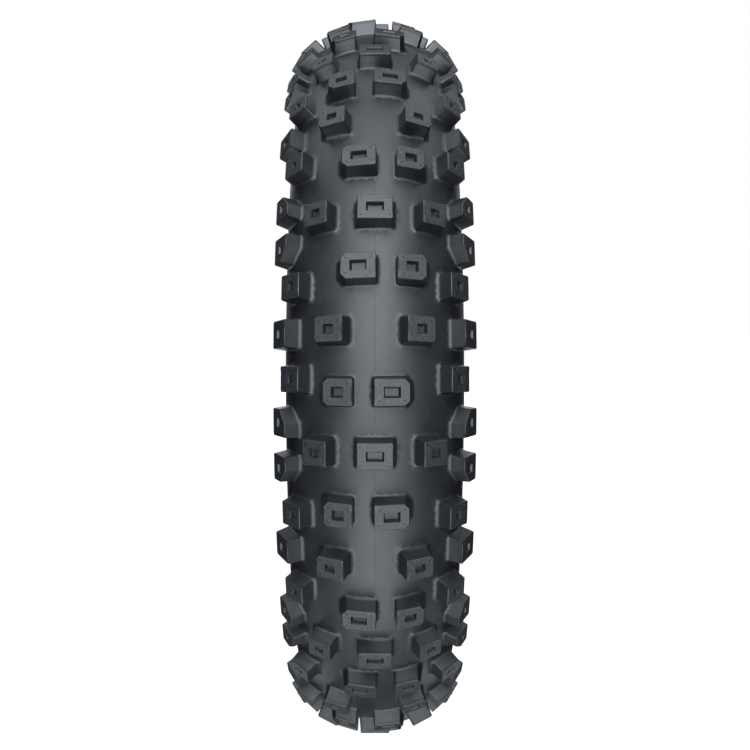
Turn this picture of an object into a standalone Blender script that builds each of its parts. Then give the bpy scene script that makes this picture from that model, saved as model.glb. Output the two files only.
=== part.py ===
"""Off-road motorcycle rear tyre of the 140/80-18 class, bare and standing upright.

Units are metres. The origin is the wheel's centre, +Y is the wheel's axis and +Z is up. "Left" is the
side at -Y and "right" the side at +Y.

The tyre is a bias-ply casing made of layers that lie about a third of a millimetre apart. Every layer
is a closed outline, turned once round the wheel's axis. An outline's points are (y, r): y across the
tyre and r out from the axis.
"""

import math
from collections import namedtuple

import bmesh
import bpy
from mathutils import Matrix, Vector

MM = 0.001

# Driving dimensions.
TIP_RADIUS = 342.0 * MM  # wheel centre to the top of a centre knob
KNOB_HEIGHT = 12.5 * MM  # centre knobs, above the tread base
TOP_ARC_RADIUS = 96.7 * MM  # crown over the knob tops, across the tyre
CARCASS_HALF_WIDTH = 65.6 * MM
CROWN_EDGE_TURN = 38.0  # degrees of crown arc on each side
FLARE_RADIUS = 13.0 * MM  # hollow arc between sidewall and bead
BEAD_HALF_WIDTH = 47.0 * MM  # to the flat face that bears on the rim's flange
FLANGE_TOP_RADIUS = 241.0 * MM
FLANGE_FOOT_RADIUS = 231.2 * MM
SEAT_RADIUS = 228.6 * MM  # heel of the 18 inch bead seat
TOE_RADIUS = 227.3 * MM
GAP = 0.3 * MM  # between neighbouring layers
SEGMENTS = 32  # flats round each layer
SHARP_ANGLE = math.radians(32.0)

# Tread pattern.
ROWS = 48  # knob rows round the tyre
ROWS_PER_UNIT = 4
KNOB_ROOT = 3.6 * MM  # how far a knob is sunk below its own foot, inside the tread base
KNOB_DRAFT = math.tan(math.radians(5.0))

# Layers.
PLY = 0.8 * MM
BREAKER = 1.0 * MM
TREAD_BASE = 4.5 * MM
UNDERTREAD = 1.2 * MM
SIDEWALL = 2.4 * MM
LINER = 1.2 * MM
CUSHION = 1.4 * MM
CHAFER = 0.7 * MM
FLIPPER = 0.5 * MM

# Bead core, a steel bundle inside the bead.
CORE_WIDTH = 7.0 * MM
CORE_HEIGHT = 7.0 * MM
CORE_CHAMFER = 1.5 * MM
CORE_FOOT_RADIUS = 233.2 * MM

# The section's arcs, tangent to each other from the crown down to the bead's flat face.
BASE_ARC_RADIUS = TOP_ARC_RADIUS - KNOB_HEIGHT
CROWN_EDGE = math.radians(CROWN_EDGE_TURN)
SIDE_TURN = math.radians(90.0)


def heading(turn):
    """Unit vector in the section that leans turn radians from straight out towards the right side."""
    return Vector((math.sin(turn), math.cos(turn)))


SHOULDER_ARC_RADIUS = (CARCASS_HALF_WIDTH - BASE_ARC_RADIUS * math.sin(CROWN_EDGE)) / (
    1.0 - math.sin(CROWN_EDGE)
)
CROWN_CENTRE = Vector((0.0, TIP_RADIUS - TOP_ARC_RADIUS))
SHOULDER_CENTRE = CROWN_CENTRE + (BASE_ARC_RADIUS - SHOULDER_ARC_RADIUS) * heading(CROWN_EDGE)
WALL_INSET = CARCASS_HALF_WIDTH - BEAD_HALF_WIDTH
WALL_DROP = SHOULDER_CENTRE.y - FLANGE_TOP_RADIUS
WALL_SWEEP = 2.0 * math.atan(WALL_INSET / WALL_DROP)
WALL_ARC_RADIUS = WALL_DROP / math.sin(WALL_SWEEP) - FLARE_RADIUS
WALL_CENTRE = SHOULDER_CENTRE + (SHOULDER_ARC_RADIUS - WALL_ARC_RADIUS) * heading(SIDE_TURN)
WALL_END = SIDE_TURN + WALL_SWEEP
FLARE_CENTRE = WALL_CENTRE + (WALL_ARC_RADIUS + FLARE_RADIUS) * heading(WALL_END)

# Stations number the corners of every layer: 0 mid crown, 2 crown edge, 4 widest, 6 where the wall
# turns hollow, 8 at the top of the bead's flat face. Negative stations are on the left side.
CROWN_EDGE_STATION = 2
WIDEST_STATION = 4
WALL_END_STATION = 6
FLANGE_STATION = 8
TREAD_END = 3.5
SIDEWALL_END = 6.95
BEAD_STRIPS_START = 7.0


def station_corner(number, depth):
    """Corner (y, r) at a whole station from 0 to 8, depth inside the outer surface."""
    if number <= CROWN_EDGE_STATION:
        turn = CROWN_EDGE * number / CROWN_EDGE_STATION
        return CROWN_CENTRE + (BASE_ARC_RADIUS - depth) * heading(turn)
    if number <= WIDEST_STATION:
        share = (number - CROWN_EDGE_STATION) / (WIDEST_STATION - CROWN_EDGE_STATION)
        turn = CROWN_EDGE + (SIDE_TURN - CROWN_EDGE) * share
        return SHOULDER_CENTRE + (SHOULDER_ARC_RADIUS - depth) * heading(turn)
    if number <= WALL_END_STATION:
        share = (number - WIDEST_STATION) / (WALL_END_STATION - WIDEST_STATION)
        return WALL_CENTRE + (WALL_ARC_RADIUS - depth) * heading(SIDE_TURN + WALL_SWEEP * share)
    share = (number - WALL_END_STATION) / (FLANGE_STATION - WALL_END_STATION)
    return FLARE_CENTRE - (FLARE_RADIUS + depth) * heading(WALL_END - WALL_SWEEP * share)


Level = namedtuple("Level", "crown shoulder side")  # depth at stations 0-2, 3 and 4-8


def level_depth(level, station):
    if station <= CROWN_EDGE_STATION:
        return level.crown
    if station >= WIDEST_STATION:
        return level.side
    shoulder_station = CROWN_EDGE_STATION + 1
    if station <= shoulder_station:
        share = station - CROWN_EDGE_STATION
        return level.crown + (level.shoulder - level.crown) * share
    return level.shoulder + (level.side - level.shoulder) * (station - shoulder_station)


def section_point(level, station):
    """Point (y, r) of a level at any signed station, on the straight between its two corners."""
    place = abs(station)
    before = math.floor(place)
    after = math.ceil(place)
    start = station_corner(before, level_depth(level, before))
    end = station_corner(after, level_depth(level, after))
    point = start.lerp(end, place - before)
    return Vector((math.copysign(point.x, station), point.y))


def along(level, first, last):
    """Points of a level from one signed station to another, with every whole station between."""
    step = 1 if last > first else -1
    inner = range(math.floor(first) + 1, math.ceil(last))
    if step < 0:
        inner = range(math.ceil(first) - 1, math.floor(last), -1)
    return [section_point(level, station) for station in (first, *inner, last)]


def mirrored(points):
    return [Vector((-point.x, point.y)) for point in points]


def strip(upper, lower, last):
    """Outline of a layer that runs over the crown to the same station on both sides."""
    return along(upper, last, -last) + along(lower, -last, last)


def deeper(level, distance):
    return Level(*(depth + distance for depth in level))


SURFACE = Level(0.0, 0.0, 0.0)
BREAKER_OUTER_TOP = TREAD_BASE + UNDERTREAD + 2.0 * GAP
BREAKER_INNER_TOP = BREAKER_OUTER_TOP + BREAKER + GAP
PLY_OUTER_CROWN = BREAKER_INNER_TOP + BREAKER + GAP
PLY_OUTER_SIDE = SIDEWALL + GAP
PLY_OUTER_TOP = Level(PLY_OUTER_CROWN, (PLY_OUTER_CROWN + PLY_OUTER_SIDE) / 2.0, PLY_OUTER_SIDE)
PLY_INNER_TOP = deeper(PLY_OUTER_TOP, PLY + GAP)
LINER_TOP = deeper(PLY_INNER_TOP, PLY + GAP)
RUBBER_UNDERSIDE = deeper(PLY_OUTER_TOP, -GAP)
TREAD_UNDERSIDE = RUBBER_UNDERSIDE._replace(crown=TREAD_BASE)

# Bead, from its outer face inwards: cushion, chafer, two plies, flipper, core, then back out again.
CHAFER_OUT = BEAD_HALF_WIDTH - CUSHION - GAP
PLY_OUTER_OUT = BEAD_HALF_WIDTH - PLY_OUTER_SIDE
PLY_INNER_OUT = PLY_OUTER_OUT - PLY - GAP
FLIPPER_OUT = PLY_INNER_OUT - PLY - GAP
CORE_OUT = FLIPPER_OUT - FLIPPER - GAP
CORE_IN = CORE_OUT - CORE_WIDTH
FLIPPER_IN = CORE_IN - GAP - FLIPPER
PLY_INNER_IN = FLIPPER_IN - GAP - PLY
CHAFER_IN = PLY_INNER_IN - GAP - CHAFER
TOE_IN = CHAFER_IN - GAP - CUSHION
FLIPPER_FOOT = CORE_FOOT_RADIUS - GAP - FLIPPER
PLY_FOOT = FLIPPER_FOOT - GAP - PLY
CHAFER_FOOT = PLY_FOOT - GAP - CHAFER
CORE_TOP_RADIUS = CORE_FOOT_RADIUS + CORE_HEIGHT
BEAD_INNER_TOP = CORE_TOP_RADIUS + 2.8 * MM  # where the inner side starts to lean outwards

# Collections for the tyre's pieces and for the helper that a Boolean uses.
PIECES = "motorcycle_tyre"
HELPERS = "helpers"

# Colours are linear, from the charcoal grey of the tread.
Look = namedtuple("Look", "colour roughness metallic")
LOOKS = {
    "tread_rubber": Look((0.040, 0.043, 0.047), 0.62, 0.0),
    "sidewall_rubber": Look((0.030, 0.032, 0.035), 0.55, 0.0),
    "rim_rubber": Look((0.024, 0.025, 0.027), 0.50, 0.0),
    "casing_rubber": Look((0.050, 0.050, 0.050), 0.70, 0.0),
    "filler_rubber": Look((0.018, 0.018, 0.019), 0.60, 0.0),
    "ply_fabric": Look((0.260, 0.215, 0.150), 0.85, 0.0),
    "bead_fabric": Look((0.120, 0.105, 0.085), 0.85, 0.0),
    "bead_steel": Look((0.520, 0.420, 0.260), 0.35, 1.0),
}


def clear_scene():
    for obj in list(bpy.data.objects):
        bpy.data.objects.remove(obj, do_unlink=True)


def make_collection(name):
    collection = bpy.data.collections.new(name)
    bpy.context.scene.collection.children.link(collection)
    return collection


def material(name):
    made = bpy.data.materials.get(name)
    if made is None:
        look = LOOKS[name]
        made = bpy.data.materials.new(name)
        made.use_nodes = True
        shader = made.node_tree.nodes["Principled BSDF"]
        shader.inputs["Base Color"].default_value = (*look.colour, 1.0)
        shader.inputs["Roughness"].default_value = look.roughness
        shader.inputs["Metallic"].default_value = look.metallic
        made.diffuse_color = (*look.colour, 1.0)
    return made


def signed_area(points):
    following = points[1:] + points[:1]
    return sum(a.x * b.y - b.x * a.y for a, b in zip(points, following)) / 2.0


def turned(name, outline, look):
    """A closed outline of (y, r) points, turned once round the wheel's axis."""
    if signed_area(outline) < 0.0:
        outline = outline[::-1]
    mesh = bpy.data.meshes.new(name)
    corners = [(point.y, 0.0, point.x) for point in outline]
    edges = [(i, (i + 1) % len(corners)) for i in range(len(corners))]
    mesh.from_pydata(corners, edges, [])
    obj = bpy.data.objects.new(name, mesh)
    obj.rotation_euler.x = -math.pi / 2.0
    bpy.data.collections[PIECES].objects.link(obj)
    mesh.materials.append(material(look))
    screw = obj.modifiers.new("turn", "SCREW")
    screw.axis = "Z"
    screw.angle = 2.0 * math.pi
    screw.steps = SEGMENTS
    screw.render_steps = SEGMENTS
    screw.use_merge_vertices = True
    screw.merge_threshold = 0.01 * MM
    return obj


def turned_pair(name, right_outline, look):
    turned(f"{name}_right", right_outline, look)
    turned(f"{name}_left", mirrored(right_outline), look)


def shade_round(obj):
    """Turns an object's modifiers into its mesh, smooth but for its real corners."""
    graph = bpy.context.evaluated_depsgraph_get()
    mesh = bpy.data.meshes.new_from_object(obj.evaluated_get(graph))
    obj.modifiers.clear()
    obj.data = mesh
    mesh.name = obj.name
    mesh.shade_smooth()
    mesh.set_sharp_from_angle(angle=SHARP_ANGLE)


# Knobs. Turn is how many degrees a knob's top faces away from the wheel's plane. Lean is how many its
# body leans out of that plane: the middle knobs stand straight up, the outer ones square to their tops.
Knob = namedtuple("Knob", "turn lean height width length")
KNOBS = {
    "centre": Knob(0.0, 0.0, KNOB_HEIGHT, 25.4 * MM, 18.8 * MM),
    "wide": Knob(7.1, 0.0, KNOB_HEIGHT, 25.2 * MM, 18.8 * MM),
    "narrow": Knob(15.8, 0.0, KNOB_HEIGHT, 21.2 * MM, 18.8 * MM),
    "inter": Knob(19.8, 19.8, KNOB_HEIGHT, 20.6 * MM, 17.7 * MM),
    "flank": Knob(26.4, 26.4, KNOB_HEIGHT, 18.4 * MM, 18.2 * MM),
    "shoulder": Knob(41.0, 41.0, 11.8 * MM, 17.6 * MM, 18.4 * MM),
    "side": Knob(57.0, 57.0, 11.2 * MM, 17.5 * MM, 20.0 * MM),
}
# A chevron knob is a side knob with one inner corner cut away on a slant.
CHEVRON_OFFSET = 0.42  # rows above or below a centre knob
SHOULDER_OFFSET = 1.2
CHEVRON_CUT_LENGTH = 10.0 * MM
CHEVRON_CUT_WIDTH = 8.0 * MM


def knob_matrix(knob, row, side):
    """Knob frame to world: local X along the tread, Y away from mid crown, Z out of the top face."""
    angle = 2.0 * math.pi * row / ROWS
    outward = Vector((math.cos(angle), 0.0, math.sin(angle)))
    forward = Vector((-math.sin(angle), 0.0, math.cos(angle)))
    across = Vector((0.0, side, 0.0))
    turn = math.radians(knob.turn)
    lean = heading(turn)
    if turn <= CROWN_EDGE:
        top = CROWN_CENTRE + (BASE_ARC_RADIUS + knob.height) * lean
    else:
        top = SHOULDER_CENTRE + (SHOULDER_ARC_RADIUS + knob.height) * lean
    place = across * top.x + outward * top.y
    normal = across * lean.x + outward * lean.y
    sideways = across * lean.y - outward * lean.x
    columns = Matrix((forward, sideways, normal)).transposed()
    return Matrix.Translation(place) @ columns.to_4x4()


def add_knob(shape, kind, row, side, cut=0):
    """A tapered block from a cube. cut is +1 or -1 for the chevron's slant ahead or behind."""
    knob = KNOBS[kind]
    depth = knob.height + KNOB_ROOT
    slant = depth * math.tan(math.radians(knob.turn - knob.lean))
    earlier = set(shape.verts)
    block = bmesh.ops.create_cube(shape, size=1.0)["verts"]
    for corner in block:
        is_top = corner.co.z > 0.0
        spread = 0.0 if is_top else depth * KNOB_DRAFT
        corner.co.x = math.copysign(knob.length / 2.0 + spread, corner.co.x)
        corner.co.y = math.copysign(knob.width / 2.0 + spread, corner.co.y) + (0.0 if is_top else slant)
        corner.co.z = 0.0 if is_top else -depth
    if cut:
        cut_inner_corner(shape, block, knob, cut)
        block = [corner for corner in shape.verts if corner not in earlier]
    bmesh.ops.transform(shape, matrix=knob_matrix(knob, row, side), verts=block)


def cut_inner_corner(shape, block, knob, cut):
    """Slices off the inner corner that is ahead (cut +1) or behind (cut -1), and closes the slice."""
    start = Vector((cut * (knob.length / 2.0 - CHEVRON_CUT_LENGTH), -knob.width / 2.0, 0.0))
    end = Vector((cut * knob.length / 2.0, CHEVRON_CUT_WIDTH - knob.width / 2.0, 0.0))
    upright = Vector((0.0, 0.0, 1.0))
    normal = (end - start).cross(upright).normalized() * cut
    normal = (normal + upright * math.sin(math.atan(KNOB_DRAFT))).normalized()
    faces = {face for corner in block for face in corner.link_faces}
    edges = {edge for corner in block for edge in corner.link_edges}
    sliced = bmesh.ops.bisect_plane(
        shape, geom=[*block, *edges, *faces], plane_co=start, plane_no=normal, clear_outer=True
    )
    rim = [item for item in sliced["geom_cut"] if isinstance(item, bmesh.types.BMEdge)]
    bmesh.ops.contextual_create(shape, geom=rim)


def unit_knobs(unit):
    """(kind, row, side, cut) for the knobs of one four-row unit, centred on its single centre knob."""
    row = unit * ROWS_PER_UNIT
    narrow_side = -1 if unit % 2 == 0 else 1
    yield "centre", row, 1, 0
    for step in (-1, 1):
        yield "narrow", row + step, narrow_side, 0
        yield "wide", row + step, -narrow_side, 0
    for side in (-1, 1):
        yield "flank", row, side, 0
        yield "inter", row + 2, side, 0
        yield "side", row + 2, side, 0
        for step in (-1, 1):
            yield "shoulder", row + step * SHOULDER_OFFSET, side, 0
            yield "side", row + step * CHEVRON_OFFSET, side, step


def make_knobs():
    """All knobs as one helper mesh of separate blocks, which the tread joins to its base."""
    shape = bmesh.new()
    for unit in range(ROWS // ROWS_PER_UNIT):
        for kind, row, side, cut in unit_knobs(unit):
            add_knob(shape, kind, row, side, cut)
    bmesh.ops.recalc_face_normals(shape, faces=shape.faces)
    mesh = bpy.data.meshes.new("knobs")
    shape.to_mesh(mesh)
    shape.free()
    knobs = bpy.data.objects.new("knobs", mesh)
    knobs.hide_render = True
    knobs.display_type = "WIRE"
    bpy.data.collections[HELPERS].objects.link(knobs)
    return knobs


def make_tread():
    tread = turned("tread_cap", strip(SURFACE, TREAD_UNDERSIDE, TREAD_END), "tread_rubber")
    union = tread.modifiers.new("knobs", "BOOLEAN")
    union.operation = "UNION"
    union.solver = "EXACT"
    union.object = make_knobs()


def make_undertread():
    """Cushion under the tread. Past the breakers' edges it thickens into a wedge at each shoulder."""
    wedge_start = 1.75
    breaker_edge = 1.68
    end = 2.6
    upper = deeper(TREAD_UNDERSIDE, GAP)
    crown_under = Level(*(TREAD_BASE + GAP + UNDERTREAD for _ in range(3)))
    lower = along(RUBBER_UNDERSIDE, -end, -wedge_start)
    lower += along(crown_under, -breaker_edge, breaker_edge)
    lower += along(RUBBER_UNDERSIDE, wedge_start, end)
    turned("undertread", along(upper, end, -end) + lower, "casing_rubber")


def make_breakers():
    for name, top, edge in (
        ("breaker_outer", BREAKER_OUTER_TOP, 1.5),
        ("breaker_inner", BREAKER_INNER_TOP, 1.63),
    ):
        upper = Level(top, top, top)
        turned(name, strip(upper, deeper(upper, BREAKER), edge), "ply_fabric")


def make_body_ply_outer():
    """Ply over the whole section that ends on the outer side of each bead core."""
    lower = deeper(PLY_OUTER_TOP, PLY)
    foot = PLY_FOOT
    tail = [Vector((PLY_OUTER_OUT, foot)), Vector((PLY_OUTER_OUT - PLY, foot))]
    outline = along(PLY_OUTER_TOP, FLANGE_STATION, -FLANGE_STATION) + mirrored(tail)
    outline += along(lower, -FLANGE_STATION, FLANGE_STATION) + tail[::-1]
    turned("body_ply_outer", outline, "ply_fabric")


def make_body_ply_inner():
    """Ply inside the outer one, which passes under each bead core and turns up on its outer side."""
    turn_up_end = 7.2
    lower = deeper(PLY_INNER_TOP, PLY)
    wall = PLY_INNER_IN + PLY
    outer_face = [
        Vector((wall, BEAD_INNER_TOP)),
        Vector((wall, PLY_FOOT + PLY)),
        Vector((PLY_INNER_OUT - PLY, PLY_FOOT + PLY)),
        *along(lower, FLANGE_STATION, turn_up_end),
    ]
    inner_face = [
        *along(PLY_INNER_TOP, turn_up_end, FLANGE_STATION),
        Vector((PLY_INNER_OUT, PLY_FOOT)),
        Vector((PLY_INNER_IN, PLY_FOOT)),
        Vector((PLY_INNER_IN, BEAD_INNER_TOP + PLY / 2.0)),
    ]
    bead = outer_face + inner_face
    outline = along(PLY_INNER_TOP, WALL_END_STATION, -WALL_END_STATION) + mirrored(bead)
    outline += along(lower, -WALL_END_STATION, WALL_END_STATION) + bead[::-1]
    turned("body_ply_inner", outline, "ply_fabric")


def make_inner_liner():
    foot = BEAD_INNER_TOP - 1.0 * MM
    outer_face = PLY_INNER_IN - GAP
    inner_face = outer_face - LINER
    outer_knee = BEAD_INNER_TOP + PLY / 2.0 + 0.2 * MM
    inner_knee = outer_knee + LINER / 2.0
    bead = [
        Vector((outer_face, outer_knee)),
        Vector((outer_face, foot)),
        Vector((inner_face, foot)),
        Vector((inner_face, inner_knee)),
    ]
    outline = along(LINER_TOP, WALL_END_STATION, -WALL_END_STATION) + mirrored(bead)
    outline += along(deeper(LINER_TOP, LINER), -WALL_END_STATION, WALL_END_STATION) + bead[::-1]
    turned("inner_liner", outline, "casing_rubber")


def make_sidewalls():
    gap_in_stations = 0.02
    start = TREAD_END + gap_in_stations
    outline = along(SURFACE, SIDEWALL_END, start) + along(RUBBER_UNDERSIDE, start, SIDEWALL_END)
    turned_pair("sidewall", outline, "sidewall_rubber")


def make_bead_cores():
    low, high = CORE_FOOT_RADIUS, CORE_TOP_RADIUS
    outline = [
        Vector((CORE_IN, low)),
        Vector((CORE_OUT, low)),
        Vector((CORE_OUT, high - CORE_CHAMFER)),
        Vector((CORE_OUT - CORE_CHAMFER, high)),
        Vector((CORE_IN + CORE_CHAMFER, high)),
        Vector((CORE_IN, high - CORE_CHAMFER)),
    ]
    turned_pair("bead_core", outline, "bead_steel")


def make_bead_fillers():
    """Hard wedge from the core's top up to where the turned-up ply meets the wall."""
    foot = CORE_TOP_RADIUS + GAP
    knee = BEAD_INNER_TOP + GAP
    tip = section_point(deeper(PLY_INNER_TOP, PLY), 7.2)
    tip_width = 1.8 * MM
    tip_slope = 1.0 * MM
    outline = [
        Vector((CORE_IN, foot)),
        Vector((CORE_OUT, foot)),
        Vector((CORE_OUT, knee)),
        tip + Vector((-2.0 * GAP, -tip_slope)),
        tip + Vector((-tip_width, 0.0)),
        Vector((CORE_IN + GAP, knee)),
    ]
    turned_pair("bead_filler", outline, "filler_rubber")


def u_wrap(outside, inside, foot, thickness, outside_top, inside_top):
    """Outline of a strip that goes down one side, under the core and up the other side."""
    return [
        Vector((outside, outside_top)),
        Vector((outside, foot)),
        Vector((inside, foot)),
        Vector((inside, inside_top)),
        Vector((inside + thickness, inside_top)),
        Vector((inside + thickness, foot + thickness)),
        Vector((outside - thickness, foot + thickness)),
        Vector((outside - thickness, outside_top)),
    ]


def make_bead_flippers():
    top = BEAD_INNER_TOP - GAP
    outline = u_wrap(FLIPPER_OUT, FLIPPER_IN, FLIPPER_FOOT, FLIPPER, top, top)
    turned_pair("bead_flipper", outline, "bead_fabric")


def make_chafers():
    top = Level(*(CUSHION + GAP for _ in range(3)))
    inside_top = BEAD_INNER_TOP - 1.4 * MM
    wrap = u_wrap(CHAFER_OUT, CHAFER_IN, CHAFER_FOOT, CHAFER, FLANGE_TOP_RADIUS, inside_top)
    outline = along(top, BEAD_STRIPS_START, FLANGE_STATION) + wrap[1:-1]
    outline += along(deeper(top, CHAFER), FLANGE_STATION, BEAD_STRIPS_START)
    turned_pair("chafer", outline, "bead_fabric")


def make_rim_cushions():
    """Rubber on the rim: flat flange face, rounded heel, seat that falls to the toe, inner face."""
    inner_top = BEAD_INNER_TOP - 1.6 * MM
    bed = CHAFER_FOOT - GAP
    inner_face = CHAFER_IN - GAP
    toe_height = 4.0 * MM
    feathered_edge = 0.6 * MM
    heel_width = 2.3 * MM
    heel_bulge = Vector((0.7 * MM, 0.9 * MM))  # in from the flange face, out from the seat
    outline = along(SURFACE, BEAD_STRIPS_START, FLANGE_STATION)
    outline += [
        Vector((BEAD_HALF_WIDTH, FLANGE_FOOT_RADIUS)),
        Vector((BEAD_HALF_WIDTH - heel_bulge.x, SEAT_RADIUS + heel_bulge.y)),
        Vector((BEAD_HALF_WIDTH - heel_width, SEAT_RADIUS)),
        Vector((TOE_IN, TOE_RADIUS)),
        Vector((TOE_IN, TOE_RADIUS + toe_height)),
        Vector((inner_face - feathered_edge, inner_top)),
        Vector((inner_face, inner_top)),
        Vector((inner_face, bed)),
        Vector((BEAD_HALF_WIDTH - CUSHION, bed)),
    ]
    under = Level(*(CUSHION for _ in range(3)))
    outline += along(under, FLANGE_STATION, BEAD_STRIPS_START)
    turned_pair("rim_cushion", outline, "rim_rubber")


def main():
    clear_scene()
    make_collection(PIECES)
    make_collection(HELPERS)
    make_tread()
    make_undertread()
    make_breakers()
    make_body_ply_outer()
    make_body_ply_inner()
    make_inner_liner()
    make_sidewalls()
    make_bead_cores()
    make_bead_fillers()
    make_bead_flippers()
    make_chafers()
    make_rim_cushions()
    for piece in bpy.data.collections[PIECES].objects:
        shade_round(piece)


main()
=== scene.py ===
"""Studio scene of a bare off-road motorcycle rear tyre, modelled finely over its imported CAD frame.

Units are metres, the origin is the wheel's centre, +Y is the wheel's axis and +Z is up. Every layer of
the tyre is turned from its own outline of (y, r) points, on the same section arcs as the CAD model.
The tread's knobs are lofted from rings and joined to the tread band.
"""

import math
from collections import namedtuple

import bmesh
import bpy
import numpy as np
from mathutils import Matrix, Vector


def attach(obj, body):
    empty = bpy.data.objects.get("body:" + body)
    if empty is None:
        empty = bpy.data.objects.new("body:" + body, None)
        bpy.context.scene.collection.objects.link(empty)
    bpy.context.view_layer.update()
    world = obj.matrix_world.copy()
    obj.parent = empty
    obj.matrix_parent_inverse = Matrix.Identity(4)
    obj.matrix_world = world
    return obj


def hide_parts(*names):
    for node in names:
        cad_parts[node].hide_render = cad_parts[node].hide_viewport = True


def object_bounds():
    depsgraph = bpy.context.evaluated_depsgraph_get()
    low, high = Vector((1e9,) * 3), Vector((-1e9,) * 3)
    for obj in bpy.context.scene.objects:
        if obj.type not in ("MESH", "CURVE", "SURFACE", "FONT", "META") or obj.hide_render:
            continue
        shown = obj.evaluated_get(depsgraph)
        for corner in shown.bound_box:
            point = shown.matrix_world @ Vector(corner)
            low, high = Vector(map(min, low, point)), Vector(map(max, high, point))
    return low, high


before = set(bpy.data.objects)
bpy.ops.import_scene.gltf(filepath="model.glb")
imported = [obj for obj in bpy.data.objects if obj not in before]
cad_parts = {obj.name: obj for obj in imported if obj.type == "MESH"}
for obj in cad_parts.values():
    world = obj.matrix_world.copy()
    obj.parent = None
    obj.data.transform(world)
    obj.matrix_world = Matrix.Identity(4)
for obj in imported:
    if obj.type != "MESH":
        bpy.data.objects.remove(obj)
cad_low, cad_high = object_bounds()

MM = 0.001

# Section, as in the CAD model.
TIP_RADIUS = 342.0 * MM
KNOB_HEIGHT = 12.5 * MM
TOP_ARC_RADIUS = 96.7 * MM
CARCASS_HALF_WIDTH = 65.6 * MM
CROWN_EDGE = math.radians(38.0)
SIDE_TURN = math.radians(90.0)
FLARE_RADIUS = 13.0 * MM
BEAD_HALF_WIDTH = 47.0 * MM
FLANGE_TOP_RADIUS = 241.0 * MM
FLANGE_FOOT_RADIUS = 231.2 * MM
SEAT_RADIUS = 228.6 * MM
TOE_RADIUS = 227.3 * MM
GAP = 0.3 * MM
ROWS = 48
ROWS_PER_UNIT = 4
PLY = 0.8 * MM
BREAKER = 1.0 * MM
TREAD_BASE = 4.5 * MM
UNDERTREAD = 1.2 * MM
SIDEWALL = 2.4 * MM
LINER = 1.2 * MM
CUSHION = 1.4 * MM
CHAFER = 0.7 * MM
FLIPPER = 0.5 * MM
CORE_WIDTH = 7.0 * MM
CORE_HEIGHT = 7.0 * MM
CORE_FOOT_RADIUS = 233.2 * MM

FINE_FLATS = 288  # round the layers that show
PLAIN_FLATS = 144  # round the layers inside
SHARP_ANGLE = math.radians(38.0)


def heading(turn):
    """Unit vector in the section that leans turn radians from straight out towards the right side."""
    return Vector((math.sin(turn), math.cos(turn)))


BASE_ARC_RADIUS = TOP_ARC_RADIUS - KNOB_HEIGHT
SHOULDER_ARC_RADIUS = (CARCASS_HALF_WIDTH - BASE_ARC_RADIUS * math.sin(CROWN_EDGE)) / (
    1.0 - math.sin(CROWN_EDGE)
)
CROWN_CENTRE = Vector((0.0, TIP_RADIUS - TOP_ARC_RADIUS))
SHOULDER_CENTRE = CROWN_CENTRE + (BASE_ARC_RADIUS - SHOULDER_ARC_RADIUS) * heading(CROWN_EDGE)
WALL_INSET = CARCASS_HALF_WIDTH - BEAD_HALF_WIDTH
WALL_DROP = SHOULDER_CENTRE.y - FLANGE_TOP_RADIUS
WALL_SWEEP = 2.0 * math.atan(WALL_INSET / WALL_DROP)
WALL_ARC_RADIUS = WALL_DROP / math.sin(WALL_SWEEP) - FLARE_RADIUS
WALL_CENTRE = SHOULDER_CENTRE + (SHOULDER_ARC_RADIUS - WALL_ARC_RADIUS) * heading(SIDE_TURN)
WALL_END = SIDE_TURN + WALL_SWEEP
FLARE_CENTRE = WALL_CENTRE + (WALL_ARC_RADIUS + FLARE_RADIUS) * heading(WALL_END)

# Stations along the section's arcs, from 0 at mid crown. Each arc takes two.
CROWN_END = 2.0
SHOULDER = 3.0
TREAD_END = 3.5
WIDEST = 4.0
HOLLOW_START = 6.0  # where the wall turns hollow
SIDEWALL_END = 6.95
CHAFER_START = 7.0
PLY_EDGE = 7.2  # end of the inner ply, turned up outside the bead
FACE_TOP = 8.0  # top of the bead's flat outer face

Level = namedtuple("Level", "crown shoulder side")


def level_depth(level, station):
    if station <= CROWN_END:
        return level.crown
    if station >= WIDEST:
        return level.side
    if station <= SHOULDER:
        return level.crown + (level.shoulder - level.crown) * (station - CROWN_END)
    return level.shoulder + (level.side - level.shoulder) * (station - SHOULDER)


def arc_point(station, depth):
    """Point (y, r) at a station from 0 to FACE_TOP on the section's true arcs, depth inside its surface."""
    if station <= CROWN_END:
        return CROWN_CENTRE + (BASE_ARC_RADIUS - depth) * heading(CROWN_EDGE * station / 2.0)
    if station <= WIDEST:
        turn = CROWN_EDGE + (SIDE_TURN - CROWN_EDGE) * (station - CROWN_END) / 2.0
        return SHOULDER_CENTRE + (SHOULDER_ARC_RADIUS - depth) * heading(turn)
    if station <= HOLLOW_START:
        turn = SIDE_TURN + WALL_SWEEP * (station - WIDEST) / 2.0
        return WALL_CENTRE + (WALL_ARC_RADIUS - depth) * heading(turn)
    turn = WALL_END - WALL_SWEEP * (station - HOLLOW_START) / 2.0
    return FLARE_CENTRE - (FLARE_RADIUS + depth) * heading(turn)


def section_point(level, station):
    """Point (y, r) of a level at a signed station, which is negative on the left."""
    point = arc_point(abs(station), level_depth(level, abs(station)))
    return Vector((math.copysign(point.x, station), point.y))


def along(level, first, last, step=0.125):
    """Points of a level from one signed station to another."""
    count = max(1, math.ceil(abs(last - first) / step))
    return [section_point(level, first + (last - first) * i / count) for i in range(count + 1)]


def mirrored(points):
    return [Vector((-point.x, point.y)) for point in points]


def strip(upper, lower, last):
    """Outline of a layer between two levels, from one station to the same one on the other side."""
    return along(upper, last, -last) + along(lower, -last, last)


def deeper(level, distance):
    return Level(*(depth + distance for depth in level))


def even(depth):
    return Level(depth, depth, depth)


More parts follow.
